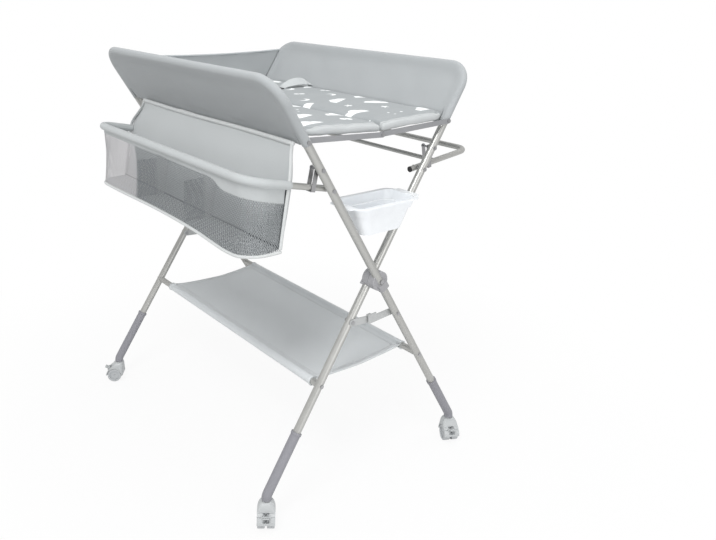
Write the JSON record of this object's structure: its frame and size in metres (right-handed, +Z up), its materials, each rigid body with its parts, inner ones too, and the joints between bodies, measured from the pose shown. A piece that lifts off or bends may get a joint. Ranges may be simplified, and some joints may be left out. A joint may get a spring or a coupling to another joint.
{
  "type": "folding changing table",
  "caption": "Folding crossed-frame changing table on casters with padded top, fabric guards, mesh basket, towel rack, cloth shelf and small bin.",
  "frame": {"origin": "middle of the bottom of the whole box, on the floor under the wheels", "axes": "+Z up, +X from the basket side to the towel rack side, +Y from the open end to the head wall"},
  "size_m": [0.7092, 0.8782, 1.0096],
  "materials": {
    "tube": "satin silver",
    "steel": "zinc plated",
    "rail": "mid grey",
    "plastic": "fine matt",
    "caster": "light grey",
    "wheel": "light grey",
    "fabric": "woven, light grey",
    "pad": "printed cover over foam",
    "mesh": "open mesh",
    "piping": "woven binding",
    "webbing": "woven webbing",
    "black": "moulded",
    "bin": "moulded white"
  },
  "bodies": {
    "frame_a": {"caster_stems_a": "steel", "foot_sleeves_a": "plastic", "guard_hoop_a": "tube", "guard_panel_a": "fabric", "head_wall": "fabric", "hub_bolts": "steel", "hub_halves_a": "plastic", "leg_a_far": "tube", "leg_a_near": "tube", "rack_hangers": "steel", "rivets_a": "steel", "shelf_cloth": "fabric", "shelf_rail_a": "tube"},
    "frame_b": {"leg_b_near": "tube", "leg_b_far": "tube", "guard_hoop_b": "tube", "guard_panel_b": "fabric", "shelf_rail_b": "tube", "foot_sleeves_b": "plastic", "hub_halves_b": "plastic", "rivets_b": "steel", "caster_stems_b": "steel", "basket_hangers": "steel", "basket_loop": "tube", "basket_band": "fabric", "basket_mesh": "mesh", "basket_back": "fabric", "basket_dividers": "mesh", "basket_piping": "piping"},
    "rack": {"rack_loop": "tube", "rack_bar": "tube", "rack_plugs": "black"},
    "top_right": {"top_rails_right": "rail", "pad_right": "pad", "buckle_socket": "black", "strap_middle": "webbing"},
    "top_left": {"top_rails_left": "rail", "pad_left": "pad", "strap_left": "webbing", "top_pins": "steel"},
    "buckle_plug": {"buckle_plug": "black", "strap_right": "webbing"},
    "bin": {"storage_bin": "bin"},
    "brace_a_near": {"brace_a_near": "rail"},
    "brace_b_near": {"brace_b_near": "rail"},
    "brace_a_far": {"brace_a_far": "rail"},
    "brace_b_far": {"brace_b_far": "rail"},
    "caster_a_near": {"caster_hood_a_near": "caster"},
    "wheels_a_near": {"caster_wheels_a_near": "wheel"},
    "pedal_a_near": {"caster_pedal_a_near": "caster"},
    "caster_b_near": {"caster_hood_b_near": "caster"},
    "wheels_b_near": {"caster_wheels_b_near": "wheel"},
    "pedal_b_near": {"caster_pedal_b_near": "caster"},
    "caster_a_far": {"caster_hood_a_far": "caster"},
    "wheels_a_far": {"caster_wheels_a_far": "wheel"},
    "pedal_a_far": {"caster_pedal_a_far": "caster"},
    "caster_b_far": {"caster_hood_b_far": "caster"},
    "wheels_b_far": {"caster_wheels_b_far": "wheel"},
    "pedal_b_far": {"caster_pedal_b_far": "caster"}
  },
  "joints": [
    {"name": "fold", "type": "hinge", "parent": "frame_a", "child": "frame_b", "pos_m": [0.00465, 0.00167, 0.52], "axis": [0, 1, 0], "range_deg": [0, 51.48], "deforming": ["pad_right", "pad_left", "head_wall", "shelf_cloth", "strap_left", "strap_right"]},
    {"name": "top_right_pivot", "type": "hinge", "parent": "frame_a", "child": "top_right", "pos_m": [0.23099, 0.00167, 0.872], "axis": [0, 1, 0], "range_deg": [0, 105.26]},
    {"name": "top_left_pivot", "type": "hinge", "parent": "frame_b", "child": "top_left", "pos_m": [-0.22169, 0.00167, 0.872], "axis": [0, -1, 0], "range_deg": [0, 105.26]},
    {"name": "brace_a_near_pivot", "type": "hinge", "parent": "frame_a", "child": "brace_a_near", "pos_m": [-0.05643, 0.00167, 0.425], "axis": [0, -1, 0], "range_deg": [0, 55.01]},
    {"name": "brace_b_near_pivot", "type": "hinge", "parent": "frame_b", "child": "brace_b_near", "pos_m": [0.06574, 0.00167, 0.425], "axis": [0, 1, 0], "range_deg": [0, 55.01]},
    {"name": "brace_a_far_pivot", "type": "hinge", "parent": "frame_a", "child": "brace_a_far", "pos_m": [-0.05643, 0.00167, 0.425], "axis": [0, -1, 0], "range_deg": [0, 55.01]},
    {"name": "brace_b_far_pivot", "type": "hinge", "parent": "frame_b", "child": "brace_b_far", "pos_m": [0.06574, 0.00167, 0.425], "axis": [0, 1, 0], "range_deg": [0, 55.01]},
    {"name": "rack_fold", "type": "hinge", "parent": "frame_a", "child": "rack", "pos_m": [0.15897, 0.00167, 0.76], "axis": [0, -1, 0], "range_deg": [0, 40]},
    {"name": "bin_lift", "type": "slide", "parent": "frame_a", "child": "bin", "axis": [0.2802, -0.8576, 0.4313], "range_m": [0, 0.46]},
    {"name": "buckle_release", "type": "slide", "parent": "top_right", "child": "buckle_plug", "axis": [0.999, 0, 0.0441], "range_m": [0, 0.016]},
    {"name": "swivel_a_near", "type": "hinge", "parent": "frame_a", "child": "caster_a_near", "pos_m": [-0.28535, -0.36983, 0], "axis": [0, 0, 1], "continuous": true},
    {"name": "roll_a_near", "type": "hinge", "parent": "caster_a_near", "child": "wheels_a_near", "pos_m": [-0.29257, -0.37941, 0.02], "axis": [0.7986, -0.6018, 0], "continuous": true},
    {"name": "brake_a_near", "type": "hinge", "parent": "caster_a_near", "child": "pedal_a_near", "pos_m": [-0.30326, -0.3936, 0.03599], "axis": [0.7986, -0.6018, 0], "range_deg": [0, 18]},
    {"name": "swivel_b_near", "type": "hinge", "parent": "frame_b", "child": "caster_b_near", "pos_m": [0.29465, -0.39783, 0], "axis": [0, 0, 1], "continuous": true},
    {"name": "roll_b_near", "type": "hinge", "parent": "caster_b_near", "child": "wheels_b_near", "pos_m": [0.28902, -0.40842, 0.02], "axis": [0.8829, -0.4695, 0], "continuous": true},
    {"name": "brake_b_near", "type": "hinge", "parent": "caster_b_near", "child": "pedal_b_near", "pos_m": [0.28068, -0.42411, 0.03599], "axis": [0.8829, -0.4695, 0], "range_deg": [0, 18]},
    {"name": "swivel_a_far", "type": "hinge", "parent": "frame_a", "child": "caster_a_far", "pos_m": [-0.28535, 0.40117, 0], "axis": [0, 0, 1], "continuous": true},
    {"name": "roll_a_far", "type": "hinge", "parent": "caster_a_far", "child": "wheels_a_far", "pos_m": [-0.29493, 0.40839, 0.02], "axis": [-0.6018, -0.7986, 0], "continuous": true},
    {"name": "brake_a_far", "type": "hinge", "parent": "caster_a_far", "child": "pedal_a_far", "pos_m": [-0.30912, 0.41908, 0.03599], "axis": [-0.6018, -0.7986, 0], "range_deg": [0, 18]},
    {"name": "swivel_b_far", "type": "hinge", "parent": "frame_b", "child": "caster_b_far", "pos_m": [0.29465, 0.37317, 0], "axis": [0, 0, 1], "continuous": true},
    {"name": "roll_b_far", "type": "hinge", "parent": "caster_b_far", "child": "wheels_b_far", "pos_m": [0.30065, 0.38356, 0.02], "axis": [-0.866, 0.5, 0], "continuous": true},
    {"name": "brake_b_far", "type": "hinge", "parent": "caster_b_far", "child": "pedal_b_far", "pos_m": [0.30953, 0.39895, 0.03599], "axis": [-0.866, 0.5, 0], "range_deg": [0, 18]}
  ],
  "couplings": [
    {"joint": "top_right_pivot", "follows": "fold", "ratio": 2.0446},
    {"joint": "top_left_pivot", "follows": "fold", "ratio": 2.0446},
    {"joint": "brace_a_near_pivot", "follows": "fold", "ratio": 1.0686},
    {"joint": "brace_b_near_pivot", "follows": "fold", "ratio": 1.0686},
    {"joint": "brace_a_far_pivot", "follows": "fold", "ratio": 1.0686},
    {"joint": "brace_b_far_pivot", "follows": "fold", "ratio": 1.0686},
    {"joint": "bin_lift", "follows": "fold", "m_per_rad": 0.51194}
  ]
}
